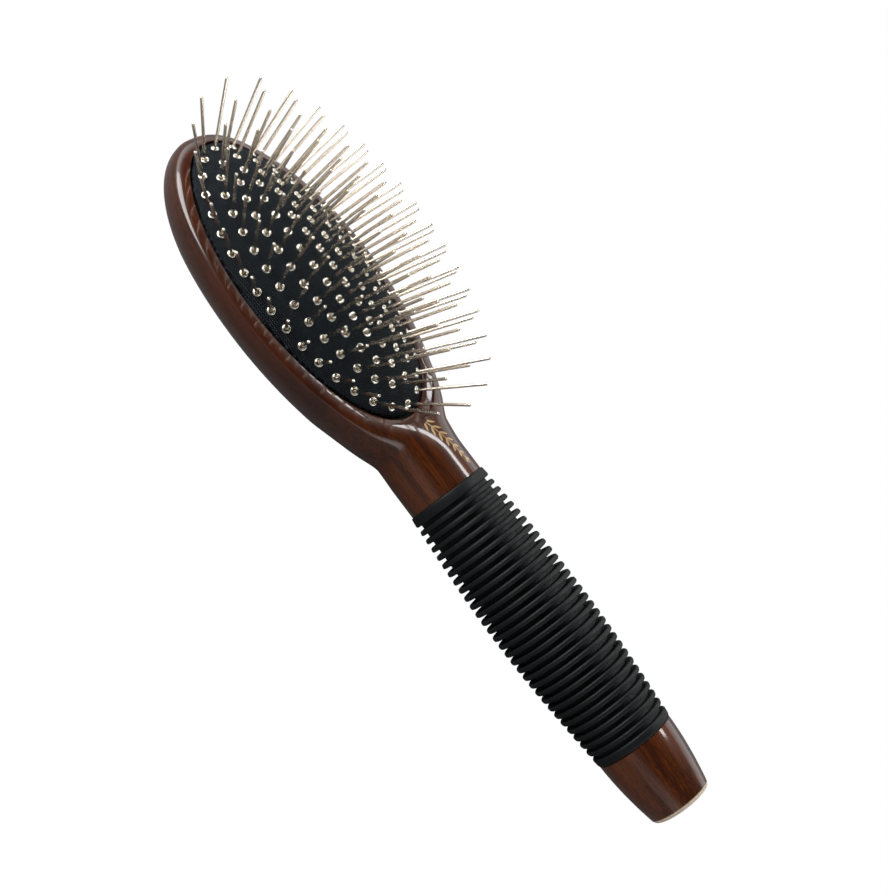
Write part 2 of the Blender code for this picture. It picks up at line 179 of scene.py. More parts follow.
class Graph:
    """The nodes of one material, built round a Principled BSDF, or of the world, round a Background."""

    def __init__(self, owner: bpy.types.Material | bpy.types.World) -> None:
        """Starts the nodes of a new material or world."""
        owner.use_nodes = True
        self.material = owner
        self.tree = owner.node_tree
        self.shader = self.tree.nodes.get("Principled BSDF") or self.tree.nodes["Background"]

    def add(
        self, kind: str, settings: dict | None = None, inputs: dict[str | int, Value] | None = None
    ) -> Outputs:
        """Adds any node.

        Args:
            kind: the node's type.
            settings: its own settings, set before its sockets.
            inputs: a value or a link for each socket, by name or number.

        Returns:
            The node's outputs.
        """
        node = self.tree.nodes.new(kind)
        for key, setting in (settings or {}).items():
            setattr(node, key, setting)
        for key, given in (inputs or {}).items():
            self._feed(node.inputs[key], given)
        return Outputs(self, node)

    def _feed(self, entry: bpy.types.NodeSocket, given: Value) -> None:
        """Links a socket, or sets its value."""
        if isinstance(given, Socket):
            self.tree.links.new(given.output, entry)
        elif entry.type == "RGBA" and len(given) == 3:
            entry.default_value = (*given, 1.0)
        else:
            entry.default_value = given

    def coordinates(self, scale: Colour = (1.0, 1.0, 1.0)) -> Socket:
        """Places on the surface in metres, each axis multiplied by a scale."""
        place = self.add("ShaderNodeTexCoord")["Object"]
        return self.add("ShaderNodeMapping", {"vector_type": "POINT"}, {"Vector": place, "Scale": scale})[0]

    def axes(self) -> tuple[Socket, Socket, Socket]:
        """Places on the surface in metres, as three numbers."""
        split = self.add("ShaderNodeSeparateXYZ", None, {0: self.coordinates()})
        return split[0], split[1], split[2]

    def noise(self, scale: Colour, detail: float = 3.0, roughness: float = 0.5) -> Socket:
        """Cloudy noise from 0 to 1.

        Args:
            scale: features per metre along each axis.
            detail: octaves.
            roughness: strength of the finer octaves.

        Returns:
            The noise's value.
        """
        inputs = {"Vector": self.coordinates(scale), "Scale": 1.0, "Detail": detail, "Roughness": roughness}
        return self.add("ShaderNodeTexNoise", None, inputs)["Fac"]

    def mix(self, share: Value, first: Value, second: Value) -> Socket:
        """Two colours mixed: share 0 gives the first, and 1 the second."""
        settings = {"data_type": "RGBA", "clamp_factor": True}
        return self.add("ShaderNodeMix", settings, {0: share, 6: first, 7: second})[2]

    def between(
        self, value: Socket, low: float, high: float, out_low: float = 0.0, out_high: float = 1.0
    ) -> Socket:
        """A value moved smoothly from one range to another, and held at its ends."""
        settings = {"interpolation_type": "SMOOTHSTEP", "clamp": True}
        inputs = {"Value": value, "From Min": low, "From Max": high, "To Min": out_low, "To Max": out_high}
        return self.add("ShaderNodeMapRange", settings, inputs)[0]

    def bump(
        self, height: Socket, distance: float, strength: float = 1.0, under: Socket | None = None
    ) -> Socket:
        """A normal bent by a height from 0 to 1.

        Args:
            height: the height.
            distance: what a height of 1 stands for, in metres.
            strength: share of the effect that is kept.
            under: a normal that is already bent, to add to.

        Returns:
            The bent normal.
        """
        inputs: dict[str | int, Value] = {"Height": height, "Distance": distance, "Strength": strength}
        if under is not None:
            inputs["Normal"] = under
        return self.add("ShaderNodeBump", None, inputs)["Normal"]

    def finish(self, **values: Value) -> bpy.types.Material:
        """Sets the shader's own sockets, such as base_color, and returns the material."""
        for key, given in values.items():
            self._feed(self.shader.inputs[SHADER_SOCKETS.get(key, key.capitalize())], given)
        return self.material


# ------------------------------------------------------------------------------------------ finishes


@dataclass(frozen=True)
class LacqueredWood:
    """Dark red-brown stained wood with fine grain along the handle, under a clear gloss lacquer."""

    name: str = "lacquered_wood"
    stain: Colour = (0.066, 0.0135, 0.0022)
    dark_stain: Colour = (0.030, 0.0058, 0.0014)
    pore: Colour = (0.007, 0.0016, 0.0008)
    amber: Colour = (0.118, 0.0270, 0.0030)
    amber_from: Pair = (-34.0 * MM, -8.0 * MM)
    end_grain: Colour = (0.80, 0.64, 0.48)
    end_band: Pair = (1.5 * MM, 0.9 * MM)
    gold: Colour = (0.56, 0.36, 0.15)
    lacquer_roughness: float = 0.10
    sprig_middle: Colour = (-2.4 * MM, 1.4 * MM, 20.0 * MM)
    sprig_turn: float = math.radians(13.0)
    sprig_length: float = 19.0 * MM
    sprig_spread: float = 2.9 * MM
    leaf_pitch: float = 2.7 * MM
    leaf_half: float = 0.62 * MM
    leaf_taper: float = 0.72
    leaf_sweep: float = 1.1
    stem_half: float = 0.17 * MM
    sprig_ends: Pair = (0.04, 0.95)
    band_grain: Colour = (14.0, 260.0, 260.0)
    streak_grain: Colour = (60.0, 1500.0, 1500.0)
    pore_grain: Colour = (420.0, 3600.0, 3600.0)
    ripple_grain: Colour = (55.0, 90.0, 90.0)
    band_share: float = 0.45
    pore_share: float = 0.7
    streak_depth: float = 0.02 * MM
    ripple_depth: float = 0.10 * MM

    def _sprig(self, graph: Graph) -> Socket:
        """1 on the gold sprig on the neck, a stem with pairs of swept-back leaves, and 0 elsewhere."""
        x, y, z = graph.axes()
        dx, dy = x - self.sprig_middle[0], y - self.sprig_middle[1]
        cosine, sine = math.cos(self.sprig_turn), math.sin(self.sprig_turn)
        along = cosine * dx + sine * dy
        aside = abs(cosine * dy - sine * dx)
        place = (along + self.sprig_length / 2) / self.sprig_length
        reach = self.sprig_spread * (1.0 - place * self.leaf_taper)
        fullness = aside / reach
        swept = (along - aside * self.leaf_sweep).remainder(self.leaf_pitch) - self.leaf_pitch / 2
        width = self.leaf_half * (fullness * math.pi).sine()
        leaf = ((width - abs(swept)) > 0.0) * ((1.0 - fullness) > 0.0)
        stem = (self.stem_half - aside) > 0.0
        first, last = self.sprig_ends
        ends = (place > first) * ((last - place) > 0.0) * (z > self.sprig_middle[2])
        return leaf.highest(stem) * ends

    def material(self) -> bpy.types.Material:
        """Builds the material."""
        graph = Graph(bpy.data.materials.new(self.name))
        bands = graph.noise(self.band_grain, detail=5.0, roughness=0.55)
        streaks = graph.noise(self.streak_grain, detail=5.0, roughness=0.7)
        figure = graph.between(self.band_share * bands + (1.0 - self.band_share) * streaks, 0.36, 0.64)
        pores = graph.between(graph.noise(self.pore_grain, detail=3.0), 0.56, 0.68)
        x = graph.axes()[0]
        bare = graph.between(x, *self.amber_from)
        base = graph.mix(figure, graph.mix(bare, self.stain, self.amber), self.dark_stain)
        base = graph.mix(self.pore_share * pores, base, self.pore)
        base = graph.mix(self._sprig(graph), base, self.gold)
        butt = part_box("wooden_body")[1].x
        end = graph.between(x, *(butt - inward for inward in self.end_band))
        base = graph.mix(end, base, self.end_grain)
        ripple = graph.noise(self.ripple_grain, detail=2.0)
        bent = graph.bump(streaks, self.streak_depth, 0.5)
        return graph.finish(
            base_color=base,
            roughness=graph.between(streaks, 0.3, 0.7, 0.30, 0.42),
            specular=0.2,
            normal=graph.bump(ripple, self.ripple_depth, 0.6, under=bent),
            coat_weight=1.0 - 0.9 * end,
            coat_roughness=self.lacquer_roughness,
        )


@dataclass(frozen=True)
class Rubber:
    """Matte moulded rubber with a fine skin, a little paler where it is rubbed."""

    name: str
    colour: Colour
    rubbed: Colour
    roughness: float
    grain: float
    shine: float
    bloom_grain: float = 70.0
    unevenness: float = 0.06
    skin_depth: float = 0.03 * MM

    def material(self) -> bpy.types.Material:
        """Builds the material."""
        graph = Graph(bpy.data.materials.new(self.name))
        skin = graph.noise((self.grain,) * 3, detail=4.0, roughness=0.6)
        bloom = graph.noise((self.bloom_grain,) * 3, detail=3.0)
        return graph.finish(
            base_color=graph.mix(graph.between(bloom, 0.35, 0.75), self.colour, self.rubbed),
            roughness=graph.between(
                skin, 0.3, 0.7, self.roughness - self.unevenness, self.roughness + self.unevenness
            ),
            specular=self.shine,
            normal=graph.bump(skin, self.skin_depth, 0.5),
        )


@dataclass(frozen=True)
class WovenCloth:
    """Navy-black plain-woven cloth: warp and weft pass over each other in turn, with painted shade in the
    hollows and a painted highlight on the thread crowns.
    """

    name: str = "woven_cloth"
    # Painted light: the hollow colour is painted shade between the threads, and the thread colour is the
    # navy thread painted much lighter as a highlight on its crowns.
    hollow_shade: Colour = (0.0012, 0.0016, 0.0024)
    thread_highlight: Colour = (0.170, 0.235, 0.290)
    pitch: float = 0.72 * MM
    turn: float = math.radians(45.0)
    thread_low: float = 0.55
    weave_light_range: Pair = (0.78, 1.22)
    fuzz_grain: float = 5200.0
    weave_depth: float = 0.14 * MM

    def _threads(self, along: Socket, across: Socket) -> tuple[Socket, Socket]:
        """(rounded height of one set of threads, 1 where the set lies on top), from places in pitches."""
        rounded = abs((along * math.pi).sine())
        crown = abs(((across + 0.5) * math.pi).sine())
        height = rounded * (self.thread_low + (1.0 - self.thread_low) * crown)
        return height, (along.floor() + across.floor()).remainder(2.0)

    def material(self) -> bpy.types.Material:
        """Builds the material."""
        graph = Graph(bpy.data.materials.new(self.name))
        x, y, _ = graph.axes()
        cosine, sine = math.cos(self.turn) / self.pitch, math.sin(self.turn) / self.pitch
        warp_place = cosine * x + sine * y
        weft_place = cosine * y - sine * x
        warp, on_top = self._threads(warp_place, weft_place)
        weft, _ = self._threads(weft_place, warp_place)
        height = warp * on_top + weft * (1.0 - on_top)
        fuzz = graph.noise((self.fuzz_grain,) * 3, detail=2.0)
        # Painted light: the weave's height sets the colour, dark in the hollows as painted shade and light
        # on the thread crowns as a painted highlight.
        weave_light_share = graph.between(height * (0.7 + 0.6 * fuzz), *self.weave_light_range)
        return graph.finish(
            base_color=graph.mix(weave_light_share, self.hollow_shade, self.thread_highlight),
            roughness=graph.between(height, 0.0, 1.0, 0.85, 0.62),
            specular=0.10,
            normal=graph.bump(height, self.weave_depth, 0.9),
        )


@dataclass(frozen=True)
class BrightMetal:
    """Polished metal with faint handling marks."""

    name: str
    colour: Colour
    worn: Colour
    roughness: float
    grain: Colour
    mark_depth: float

    def material(self) -> bpy.types.Material:
        """Builds the material."""
        graph = Graph(bpy.data.materials.new(self.name))
        marks = graph.noise(self.grain, detail=3.0, roughness=0.6)
        share = graph.between(marks, 0.4, 0.7)
        return graph.finish(
            base_color=graph.mix(share, self.colour, self.worn),
            metallic=1.0,
            roughness=graph.between(marks, 0.3, 0.7, self.roughness * 0.8, self.roughness * 1.3),
            normal=graph.bump(marks, self.mark_depth, 0.4),
        )


class Finish(Enum):
    """Every finish on the brush."""

    LACQUERED_WOOD = LacqueredWood()
    RIBBED_RUBBER = Rubber(
        "ribbed_rubber", (0.0022, 0.0030, 0.0038), (0.0042, 0.0054, 0.0064), 0.54, 2600.0, 0.30
    )
    CUSHION_RUBBER = Rubber(
        "cushion_rubber", (0.006, 0.006, 0.006), (0.012, 0.012, 0.012), 0.70, 1800.0, 0.30
    )
    WOVEN_CLOTH = WovenCloth()
    PIN_STEEL = BrightMetal(
        "pin_steel", (0.86, 0.79, 0.69), (0.74, 0.67, 0.58), 0.19, (70.0, 70.0, 20.0), 0.0003 * MM
    )
    EYELET_METAL = BrightMetal(
        "eyelet_metal", (0.90, 0.88, 0.80), (0.72, 0.68, 0.58), 0.16, (700.0, 700.0, 700.0), 0.002 * MM
    )

    def dress(self, piece: bpy.types.Object) -> None:
        """Gives a piece this finish."""
        made = bpy.data.materials.get(f"{self.value.name}_finish")
        if made is None:
            made = self.value.material()
            made.name = f"{self.value.name}_finish"
        piece.data.materials.clear()
        piece.data.materials.append(made)


# ------------------------------------------------------------------------------------- mesh helpers


def smoothstep(value: float, start: float, end: float) -> float:
    """0 before start, 1 after end, and smooth between."""
    t = min(max((value - start) / (end - start), 0.0), 1.0)
    return t * t * (3.0 - 2.0 * t)


def blend(a: float, b: float, share: float) -> float:
    """a where share is 0, and b where it is 1."""
    return a + (b - a) * share


def spread(start: float, end: float, count: int) -> list[float]:
    """Evenly spaced numbers from start to end, both included."""
    return [start + (end - start) * i / (count - 1) for i in range(count)]


class Skin:
    """A mesh in the making: shells of rings, each ring the same number of points."""

    def __init__(self) -> None:
        """Starts an empty mesh."""
        self.bm = bmesh.new()

    def shell(self, rings: Sequence[Ring], closed: bool = False) -> None:
        """Adds a tube through the rings.

        Args:
            rings: loops of points. A ring of one point is a pole.
            closed: True joins the last ring back to the first. Otherwise each end is capped, unless it is
                a pole.
        """
        made = [[self.bm.verts.new(point) for point in ring] for ring in rings]
        pairs = list(zip(made, made[1:])) + ([(made[-1], made[0])] if closed else [])
        for near, far in pairs:
            self._join(near, far)
        if closed:
            return
        for ring in (made[0], made[-1]):
            if len(ring) > 1:
                self.bm.faces.new(ring)

    def _join(self, near: list[bmesh.types.BMVert], far: list[bmesh.types.BMVert]) -> None:
        """Adds the faces between two rings, either of which may be a pole."""
        count = max(len(near), len(far))
        for i in range(count):
            j = (i + 1) % count
            corners = [near[i % len(near)], near[j % len(near)], far[j % len(far)], far[i % len(far)]]
            distinct = list(dict.fromkeys(corners))
            self.bm.faces.new(distinct)

    def piece(self, name: str, sharp: float = 40.0) -> bpy.types.Object:
        """Ends the mesh.

        Args:
            name: the object's name.
            sharp: edges that turn by more than this many degrees stay crisp.

        Returns:
            The object, shaded smooth and linked to the scene.
        """
        bmesh.ops.recalc_face_normals(self.bm, faces=self.bm.faces)
        mesh = bpy.data.meshes.new(name)
        self.bm.to_mesh(mesh)
        self.bm.free()
        mesh.shade_smooth()
        mesh.set_sharp_from_angle(angle=math.radians(sharp))
        made = bpy.data.objects.new(name, mesh)
        bpy.context.scene.collection.objects.link(made)
        return made


def turned(profile: Sequence[Pair], foot: Vector, axis: Vector, segments: int) -> list[Ring]:
    """Rings of a turned shape.

    Args:
        profile: (radius, height) pairs. A radius of 0 gives a pole.
        foot: where height 0 is.
        axis: unit vector that the heights run along.
        segments: points in each ring.

    Returns:
        One ring for each pair.
    """
    side = axis.orthogonal().normalized()
    other = axis.cross(side)
    turns = [2 * math.pi * i / segments for i in range(segments)]
    spokes = [side * math.cos(a) + other * math.sin(a) for a in turns]
    rings = []
    for radius, height in profile:
        middle = foot + axis * height
        rings.append([middle] if radius == 0.0 else [middle + spoke * radius for spoke in spokes])
    return rings


def apply_modifiers(piece: bpy.types.Object) -> None:
    """Bakes a piece's modifiers into its mesh."""
    evaluated = piece.evaluated_get(bpy.context.evaluated_depsgraph_get())
    mesh = bpy.data.meshes.new_from_object(evaluated)
    piece.modifiers.clear()
    piece.data = mesh


# ------------------------------------------------------------------------------------- wooden body


@dataclass
class WoodenBody:
    """The one-piece wooden body: an oval head with a rounded rim, a neck, a hidden core and a butt."""

    half_length: float = 55.0 * MM
    half_width: float = 29.3 * MM
    neck_radius: float = 12.3 * MM
    neck_blend: Pair = (75.0 * MM, 105.0 * MM)
    neck_power: float = 3.0
    axis_z: float = 15.0 * MM
    widest_z: float = 20.0 * MM
    tip_dip: float = 4.0 * MM
    tip_dip_length: float = 26.0 * MM
    rim_top: float = 23.4 * MM
    lip_bow: float = 9.0 * MM
    belly_sink: float = 1.0 * MM
    bow_length: float = 31.0 * MM
    bow_power: float = 2.2
    section_blend: Pair = (90.0 * MM, 118.0 * MM)
    belly_blend: Pair = (86.5 * MM, 116.0 * MM)
    rim_squareness: float = 5.0
    tip_squareness: float = 3.0
    tip_blend: Pair = (12.0 * MM, 42.0 * MM)
    core_radius: float = 10.0 * MM
    butt_root: float = 12.5 * MM
    butt_end: float = 9.7 * MM
    butt_power: float = 1.8
    butt_edge: float = 0.9 * MM
    clearance: float = 0.3 * MM
    neck_end: float = 0.4 * MM
    neck_chamfer: float = 0.1 * MM
    butt_chamfer: Pair = (0.25 * MM, 0.3 * MM)
    bow_turns: Pair = (2.5, 60.0)
    bow_rings: int = 40
    butt_rings: int = 24
    edge_rings: int = 7
    section_points: int = 144
    seat_points: int = 240
    step: float = 1.0 * MM

    def __post_init__(self) -> None:
        """Takes the body's ends, and the sleeve's, from the frame."""
        low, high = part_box("wooden_body")
        sleeve_low, sleeve_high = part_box("grip_sleeve")
        self.tip_x = low.x
        self.length = high.x - low.x
        self.grip_start = sleeve_low.x - low.x
        self.grip_end = sleeve_high.x - low.x

    def half_width_at(self, u: float) -> float:
        """Half-width at a distance from the tip of the head."""
        oval = 1.0 - ((u - self.half_length) / self.half_length) ** 2
        head = self.half_width * math.sqrt(max(oval, 0.0))
        neck = self.neck_radius * smoothstep(u, *self.neck_blend)
        return (head**self.neck_power + neck**self.neck_power) ** (1.0 / self.neck_power)

    def bow(self, u: float, length: float) -> float:
        """Share of the full depth at a distance from the tip, where the head is rounded off."""
        short = max(length - u, 0.0) / length
        return (1.0 - short**self.bow_power) ** (1.0 / self.bow_power)

    def level(self, u: float) -> float:
        """Height of the head's widest level, which dips towards the tip."""
        return self.widest_z - self.tip_dip * max(1.0 - u / self.tip_dip_length, 0.0) ** 2

    def section(self, u: float) -> Section:
        """(half-width, widest level, rise above it, drop below it, squareness of the top) in the head."""
        to_neck = smoothstep(u, *self.section_blend)
        widest = blend(self.level(u), self.axis_z, to_neck)
        rise = blend((self.rim_top - self.level(u)) * self.bow(u, self.lip_bow), self.neck_radius, to_neck)
        belly = (self.level(u) + self.belly_sink) * self.bow(u, self.bow_length)
        drop = blend(belly, self.neck_radius, smoothstep(u, *self.belly_blend))
        squareness = blend(self.tip_squareness, self.rim_squareness, smoothstep(u, *self.tip_blend))
        return self.half_width_at(u), widest, rise, drop, blend(squareness, 2.0, to_neck)

    def ring(self, u: float, section: Section) -> Ring:
        """Points of one section: a rounded square above its widest level and an ellipse below."""
        half_width, widest, rise, drop, squareness = section
        points = []
        for i in range(self.section_points):
            turn = 2 * math.pi * i / self.section_points
            c, s = math.cos(turn), math.sin(turn)
            power = squareness if s > 0 else 2.0
            reach = (abs(c) ** power + abs(s) ** power) ** (-1.0 / power)
            z = widest + reach * s * (rise if s > 0 else drop)
            points.append(Vector((self.tip_x + u, half_width * reach * c, max(z, 0.0))))
        return points

    def round_ring(self, u: float, radius: float) -> Ring:
        """Points of a round section of the handle."""
        return self.ring(u, (radius, self.axis_z, radius, radius, 2.0))

    def butt_radius(self, u: float) -> float:
        """Radius of the butt at a distance from the tip of the head."""
        along = (u - self.grip_end) / (self.length - self.grip_end)
        return blend(self.butt_root, self.butt_end, along**self.butt_power)

    def rings(self) -> list[Ring]:
        """Every section, from the tip of the head to the end of the butt."""
        turns = spread(*self.bow_turns, self.bow_rings)
        bow = [self.half_length * (1 - math.cos(math.radians(a))) for a in turns]
        run_count = int((self.grip_start - bow[-1]) / self.step)
        run = spread(bow[-1] + self.step, self.grip_start - self.neck_end, run_count)
        rings = [[Vector((self.tip_x, 0.0, self.level(0.0)))]]
        rings += [self.ring(u, self.section(u)) for u in bow + run]
        seat, start = self.grip_start - self.clearance, self.grip_end + self.clearance
        chamfer, chamfer_depth = self.butt_chamfer
        rings += [
            self.round_ring(seat, self.neck_radius - self.neck_chamfer),
            self.round_ring(seat, self.core_radius),
            self.round_ring(start, self.core_radius),
            self.round_ring(start, self.butt_root - chamfer_depth),
            self.round_ring(start + chamfer, self.butt_root),
        ]
        butt = spread(start + self.step, self.length - self.butt_edge, self.butt_rings)
        rings += [self.round_ring(u, self.butt_radius(u)) for u in butt]
        end = self.butt_radius(self.length)
        for turn in spread(0.0, math.pi / 2, self.edge_rings)[1:]:
            place = self.length - self.butt_edge * (1 - math.sin(turn))
            rings.append(self.round_ring(place, end - self.butt_edge * (1 - math.cos(turn))))
        return rings

    def seat_cutter(self, crown: Crown) -> bpy.types.Object:
        """What is cut from the head: air space, ledge, groove for the bead, seat and its rounded lip."""
        steps = (
            (-2.8 * MM, 10.0 * MM),
            (-2.8 * MM, 19.5 * MM),
            (1.6 * MM, 19.5 * MM),
            (1.6 * MM, 21.3 * MM),
            (0.75 * MM, 21.5 * MM),
            (0.75 * MM, 22.3 * MM),
            (0.85 * MM, 22.6 * MM),
            (1.10 * MM, 22.85 * MM),
            (1.55 * MM, 23.05 * MM),
            (2.40 * MM, 23.25 * MM),
            (4.00 * MM, 23.5 * MM),
            (4.00 * MM, 40.0 * MM),
        )
        skin = Skin()
        skin.shell([crown.oval(growth, height, self.seat_points) for growth, height in steps])
        cutter = skin.piece("seat_cutter")
        cutter.hide_render = True
        return cutter

    def build(self, crown: Crown) -> bpy.types.Object:
        """Makes and dresses the body.

        Args:
            crown: the cushion's face, which the seat is cut round.

        Returns:
            The wooden body.
        """
        skin = Skin()
        skin.shell(self.rings())
        body = skin.piece("lacquered_body", sharp=35.0)
        cutter = self.seat_cutter(crown)
        cut = body.modifiers.new("seat", "BOOLEAN")
        cut.operation = "DIFFERENCE"
        cut.object = cutter
        apply_modifiers(body)
        bpy.data.objects.remove(cutter, do_unlink=True)
        body.data.shade_smooth()
        body.data.set_sharp_from_angle(angle=math.radians(30.0))
        Finish.LACQUERED_WOOD.dress(body)
        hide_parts("wooden_body")
        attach(body, "body")
        return body


# ------------------------------------------------------------------------------------- grip sleeve


@dataclass
class GripSleeve:
    """The rubber sleeve: thin rounded ribs between two plain bands, swelling in its middle."""

    head_band: float = 3.2 * MM
    butt_band: float = 2.7 * MM
    rib_count: int = 29
    gap_share: float = 0.46
    end_radius: float = 12.8 * MM
    swell: float = 2.2 * MM
    end_depth: float = 1.4 * MM
    middle_depth: float = 2.9 * MM
    bore: float = 10.3 * MM
    rounding: float = 0.55 * MM
    groove_slope: float = 0.08 * MM
    end_overlap: float = 0.28 * MM
    segments: int = 144

    def __post_init__(self) -> None:
        """Takes the sleeve's ends and axis from the frame."""
        low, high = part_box("grip_sleeve")
        self.start = Vector((low.x - self.end_overlap, 0.0, (low.z + high.z) / 2))
        self.length = high.x - low.x + 2 * self.end_overlap

    def crest(self, u: float) -> float:
        """Radius over the ribs at a distance along the sleeve."""
        return self.end_radius + self.swell * math.sin(math.pi * u / self.length)

    def root(self, u: float) -> float:
        """Radius of the bottom of the grooves at a distance along the sleeve."""
        depth = blend(self.end_depth, self.middle_depth, math.sin(math.pi * u / self.length))
        return self.crest(u) - depth

    def rounded_top(self, start: float, end: float) -> list[Pair]:
        """(radius, distance) pairs over a rib or a band with rounded corners."""
        r = min(self.rounding, (end - start) / 2)
        turns = spread(0.0, math.pi / 2, 5)
        up = [(self.crest(start) - r + r * math.sin(a), start + r - r * math.cos(a)) for a in turns]
        down = [(self.crest(end) - r + r * math.cos(a), end - r + r * math.sin(a)) for a in turns]
        return up + down

    def groove(self, start: float, end: float) -> list[Pair]:
        """(radius, distance) pairs over the bottom of a groove."""
        return [(self.root(start), start + self.groove_slope), (self.root(end), end - self.groove_slope)]

    def profile(self) -> list[Pair]:
        """Closed profile of the sleeve as (radius, distance along it)."""
        ribbed = self.length - self.head_band - self.butt_band
        pitch = ribbed / (self.rib_count + self.gap_share)
        gap = self.gap_share * pitch
        points = [(self.bore, 0.0), *self.rounded_top(0.0, self.head_band)]
        place = self.head_band
        for _ in range(self.rib_count):
            points += self.groove(place, place + gap)
            points += self.rounded_top(place + gap, place + pitch)
            place += pitch
        points += self.groove(place, place + gap)
        points += self.rounded_top(self.length - self.butt_band, self.length)
        return points + [(self.bore, self.length)]

    def build(self) -> bpy.types.Object:
        """Makes and dresses the sleeve, and returns it."""
        skin = Skin()
        skin.shell(turned(self.profile(), self.start, Vector((1.0, 0.0, 0.0)), self.segments), closed=True)
        sleeve = skin.piece("ribbed_sleeve", sharp=50.0)
        Finish.RIBBED_RUBBER.dress(sleeve)
        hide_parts("grip_sleeve")
        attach(sleeve, "body")
        return sleeve


# ------------------------------------------------------------------------------------- the cushion


@dataclass
class Crown:
    """The cushion's domed face: an oval whose cross-section is part of a circle."""

    edge_z: float = 23.0 * MM
    radius: float = 34.2 * MM
    end_lean: float = 1.28
    middle_lean: float = 0.09
    lean_fall: float = 0.003 / MM
    fan_twist: float = 0.13
    end_fan: float = 0.5
    tip_sway: float = 0.08

    def __post_init__(self) -> None:
        """Takes the oval from the cloth's box."""
        low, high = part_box("cloth_face")
        self.centre_x = (low.x + high.x) / 2
        self.half_length = (high.x - low.x) / 2
        self.half_width = (high.y - low.y) / 2

    def share(self, x: float, y: float) -> float:
        """0 in the middle of the oval and 1 on its edge, from places measured from its middle."""
        return math.hypot(x / self.half_length, y / self.half_width)

    def _across(self, x: float, y: float) -> float:
        """The same share as a distance across the middle of the cushion."""
        return self.half_width * min(self.share(x, y), 1.0)

    def point(self, x: float, y: float) -> Vector:
        """The point of the cloth's face over a place measured from the oval's middle."""
        level = math.sqrt(self.radius**2 - self._across(x, y) ** 2)
        rise = level - math.sqrt(self.radius**2 - self.half_width**2)
        return Vector((self.centre_x + x, y, self.edge_z + rise))

    def direction(self, x: float, y: float) -> Vector:
        """The way that a pin at this place points."""
        level = math.sqrt(self.radius**2 - self._across(x, y) ** 2)
        slope = (self.half_width / self.half_length) ** 2 * x / level
        end = (x / self.half_length) ** 4
        drawn = (self.middle_lean - self.lean_fall * x) * (1.0 - end) + self.fan_twist * y / self.half_width
        sway = self.tip_sway * end if x < 0.0 else 0.0
        across = (1.0 + self.end_fan * end) * y / level + sway
        return Vector((self.end_lean * slope + drawn, across, 1.0)).normalized()

    def oval(self, growth: float, height: float, count: int) -> Ring:
        """A level ring that lies outside the oval by a growth."""
        long_half, short_half = self.half_length + growth, self.half_width + growth
        turns = [2 * math.pi * (i + 0.5) / count for i in range(count)]
        flat = [(long_half * math.cos(a), short_half * math.sin(a)) for a in turns]
        return [Vector((self.centre_x + x, y, height)) for x, y in flat]


@dataclass
class PinField:
    """Where the pins stand: four oval rings and a row in the middle."""

    insets: tuple[float, ...] = (2.3 * MM, 7.2 * MM, 12.8 * MM, 18.9 * MM)
    shorts: tuple[float, ...] = (0.0, 1.4 * MM, 1.4 * MM, 1.4 * MM)
    counts: tuple[int, ...] = (34, 30, 26, 20)
    phases: tuple[float, ...] = (0.0, 0.5, 0.0, 0.0)
    row_count: int = 7
    row_pitch: float = 6.2 * MM
    row_shift: float = 2.2 * MM
    course_steps: int = 1440

    def ring(self, crown: Crown, inset: float, short: float, count: int, phase: float) -> list[Pair]:
        """Places at equal steps round an oval.

        Args:
            crown: the cushion's face.
            inset: how far the oval lies inside its edge.
            short: how much further it stops short at the handle end.
            count: how many places.
            phase: where the first stands, in steps.

        Returns:
            The places, measured from the cushion's middle.
        """
        long_half = crown.half_length - inset - short / 2
        short_half = crown.half_width - inset
        turns = [2 * math.pi * i / self.course_steps for i in range(self.course_steps + 1)]
        course = [(long_half * math.cos(a) - short / 2, short_half * math.sin(a)) for a in turns]
        lengths = [0.0]
        for a, b in zip(course, course[1:]):
            lengths.append(lengths[-1] + math.dist(a, b))
        places = []
        k = 0
        for i in range(count):
            wanted = lengths[-1] * (i + phase) / count
            while lengths[k + 1] < wanted:
                k += 1
            share = (wanted - lengths[k]) / (lengths[k + 1] - lengths[k])
            places.append(tuple(blend(a, b, share) for a, b in zip(course[k], course[k + 1])))
        return places

    def groups(self, crown: Crown) -> dict[str, list[Pair]]:
        """Group name, as in the frame's nodes, to the places of its pins."""
        found = {}
        for number, values in enumerate(zip(self.insets, self.shorts, self.counts, self.phases), start=1):
            places = self.ring(crown, *values)
            half = len(places) // 2
            found[f"ring_{number}_right"] = places[:half]
            found[f"ring_{number}_left"] = places[half:]
        first = self.row_shift - (self.row_count - 1) / 2 * self.row_pitch
        found["centre_row"] = [(first + i * self.row_pitch, 0.0) for i in range(self.row_count)]
        return found


